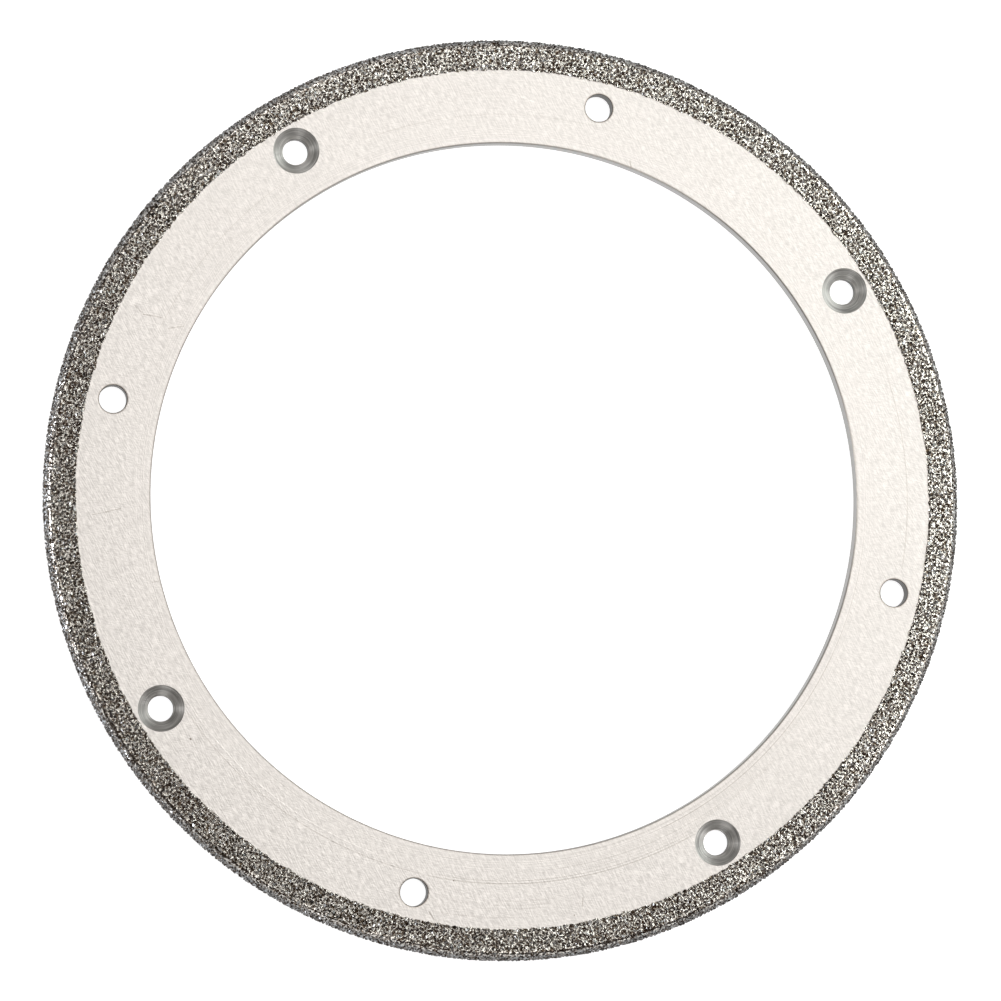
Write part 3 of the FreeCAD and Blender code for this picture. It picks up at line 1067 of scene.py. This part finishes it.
def room(tree):
    """Dim room that lightens toward the horizon, and a plain pale backdrop that the camera sees."""
    ray = add_node(tree, "ShaderNodeNewGeometry").outputs["Incoming"]
    height = add_node(tree, "ShaderNodeSeparateXYZ", {0: ray}).outputs["Z"]
    # Incoming points back along the ray, so its height is minus the sine of the elevation
    low, high = (-math.sin(math.radians(elevation)) for elevation in HORIZON_BAND)
    toward_horizon = add_node(tree, "ShaderNodeMapRange", {
        "Value": height, "From Min": high, "From Max": low,
    })
    walls = add_node(tree, "ShaderNodeMix", {
        0: toward_horizon, 6: linear(ROOM_COLOUR) + (1,), 7: linear(HORIZON_COLOUR) + (1,),
    }, data_type="RGBA")
    camera_ray = add_node(tree, "ShaderNodeLightPath").outputs["Is Camera Ray"]
    seen = add_node(tree, "ShaderNodeMix", {
        0: camera_ray, 6: walls.outputs[2], 7: linear(BACKDROP_COLOUR) + (1,),
    }, data_type="RGBA")
    light = add_node(tree, "ShaderNodeBackground", {"Color": seen.outputs[2]})
    add_node(tree, "ShaderNodeOutputWorld", {"Surface": light})


def add_camera(stage):
    """Camera tilted off the wheel's axis, its picture centred on the ring as in the photograph."""
    side = Vector((math.cos(stage.azimuth), math.sin(stage.azimuth), 0))
    up = Vector((math.cos(stage.picture_up), math.sin(stage.picture_up), 0))
    place = (side * math.sin(stage.tilt) + Vector((0, 0, math.cos(stage.tilt)))) * stage.distance
    aim = side * stage.aim_shift
    back = (place - aim).normalized()
    right = up.cross(back).normalized()
    camera = bpy.data.cameras.new("camera")
    camera.lens = stage.focal_length
    camera.clip_end = 20
    holder = bpy.data.objects.new("camera", camera)
    axes = Matrix((right, back.cross(right), back)).transposed()
    holder.matrix_world = Matrix.Translation(place) @ axes.to_4x4()
    bpy.context.scene.collection.objects.link(holder)
    bpy.context.scene.camera = holder


class CBNWHEEL_OT_add_steel_ring(bpy.types.Operator):
    """Add the ground steel ring with its bore, countersunk holes and plain holes"""

    bl_idname = "cbn_wheel.add_steel_ring"
    bl_label = "Steel ring"

    def execute(self, context):
        settings = context.scene.cbn_wheel
        steel = settings.steel
        pitch = steel.tool_pitch
        materials = [
            ground_steel(steel),
            turned_steel("turned_steel", steel.edge_colour, pitch,
                         roughness=0.32, anisotropy=0.5, depth=0.02 * MM),
            turned_steel("countersunk_steel", steel.cone_colour, 1.6 * pitch,
                         roughness=0.55, anisotropy=0.85, depth=0.05 * MM),
            # Painted shade: darker steel inside the holes
            turned_steel("drilled_steel", steel.drill_shade_colour, pitch,
                         roughness=0.40, anisotropy=0.5, depth=0.02 * MM),
        ]
        mesh = mesh_from_patches("ground_steel_ring", steel_ring_patches(steel, settings.grit))
        add_piece("ground_steel_ring", mesh, materials, ["steel_ring"])
        return {"FINISHED"}


class CBNWHEEL_OT_add_plated_rim(bpy.types.Operator):
    """Add the nickel bond and the crystals that it holds"""

    bl_idname = "cbn_wheel.add_plated_rim"
    bl_label = "Plated rim"

    def execute(self, context):
        grit = context.scene.cbn_wheel.grit
        crystals = scatter_crystals(grit)
        bond = bond_mesh(grit, crystals)
        add_piece("nickel_bond", bond, [plated_nickel(grit)], ["cbn_grit_layer"])
        rng = np.random.default_rng(CRYSTAL_SEED)
        land, arc = rim_lengths(grit)[:2]
        # Crystals beyond the shoulder sit a little deeper
        sunk = 0.06 * np.clip((crystals.along - land - arc) / arc, 0, 1)
        depth = crystals.radius * (rng.uniform(*CRYSTAL_SINKING, crystals.radius.shape) + sunk)
        r, z, facing = rim_path(grit, depth, crystals.along)
        centres = np.stack([r * np.cos(crystals.angle), r * np.sin(crystals.angle), z], -1)
        habit = rng.integers(0, 2, crystals.radius.shape)
        present = rng.random(crystals.radius.shape) > MISSING_CRYSTALS
        material = boron_nitride(grit)
        for number, name in enumerate(CRYSTAL_NAMES):
            chosen = present & (habit == number)
            mesh = crystal_mesh(name, crystal_habits()[number], centres[chosen], facing[chosen],
                                crystals.angle[chosen], crystals.radius[chosen], rng)
            add_piece(name, mesh, [material])
        return {"FINISHED"}


class CBNWHEEL_OT_add_stage(bpy.types.Operator):
    """Add the camera, the softboxes and the white table"""

    bl_idname = "cbn_wheel.add_stage"
    bl_label = "Stage"

    def execute(self, context):
        scene = context.scene
        stage = scene.cbn_wheel.stage
        picture_right = stage.picture_up - math.pi / 2
        half = FLOOR_HALF_WIDTH
        corners = ((-half, -half), (half, -half), (half, half), (-half, half))
        square = np.array([(x, y, -FLOOR_GAP) for x, y in corners])
        mesh = mesh_from_faces("white_table", square, np.arange(4), np.array([4]))
        mesh.materials.append(light_table(stage.floor_colour, TABLE_GLOW))
        table = bpy.data.objects.new("white_table", mesh)
        scene.collection.objects.link(table)
        for box in SOFTBOXES:
            add_softbox(box, picture_right)
        world = bpy.data.worlds.new("studio")
        world.use_nodes = True
        world.node_tree.nodes.clear()
        room(world.node_tree)
        scene.world = world
        scene.view_settings.view_transform = "Standard"
        add_camera(stage)
        return {"FINISHED"}


class CBNWHEEL_PT_sidebar(bpy.types.Panel):
    """Grinding wheel's operators and settings"""

    bl_label = "Grinding wheel"
    bl_space_type = "VIEW_3D"
    bl_region_type = "UI"
    bl_category = "Grinding wheel"

    def draw(self, context):
        settings = context.scene.cbn_wheel
        for group in (settings.steel, settings.grit, settings.stage):
            box = self.layout.box()
            for name in group.__annotations__:
                box.prop(group, name)
        for operator in OPERATORS:
            self.layout.operator(operator.bl_idname)


OPERATORS = (CBNWHEEL_OT_add_steel_ring, CBNWHEEL_OT_add_plated_rim, CBNWHEEL_OT_add_stage)
CLASSES = (SteelSettings, GritSettings, StageSettings, WheelSettings, *OPERATORS, CBNWHEEL_PT_sidebar)


def register():
    """Registers the classes and gives each scene its settings."""
    for one in CLASSES:
        bpy.utils.register_class(one)
    bpy.types.Scene.cbn_wheel = PointerProperty(type=WheelSettings)


def unregister():
    """Undoes register."""
    del bpy.types.Scene.cbn_wheel
    for one in reversed(CLASSES):
        bpy.utils.unregister_class(one)


def main():
    """Builds the wheel and its stage."""
    register()
    bpy.ops.cbn_wheel.add_steel_ring()
    bpy.ops.cbn_wheel.add_plated_rim()
    bpy.ops.cbn_wheel.add_stage()


if __name__ == "__main__":
    main()
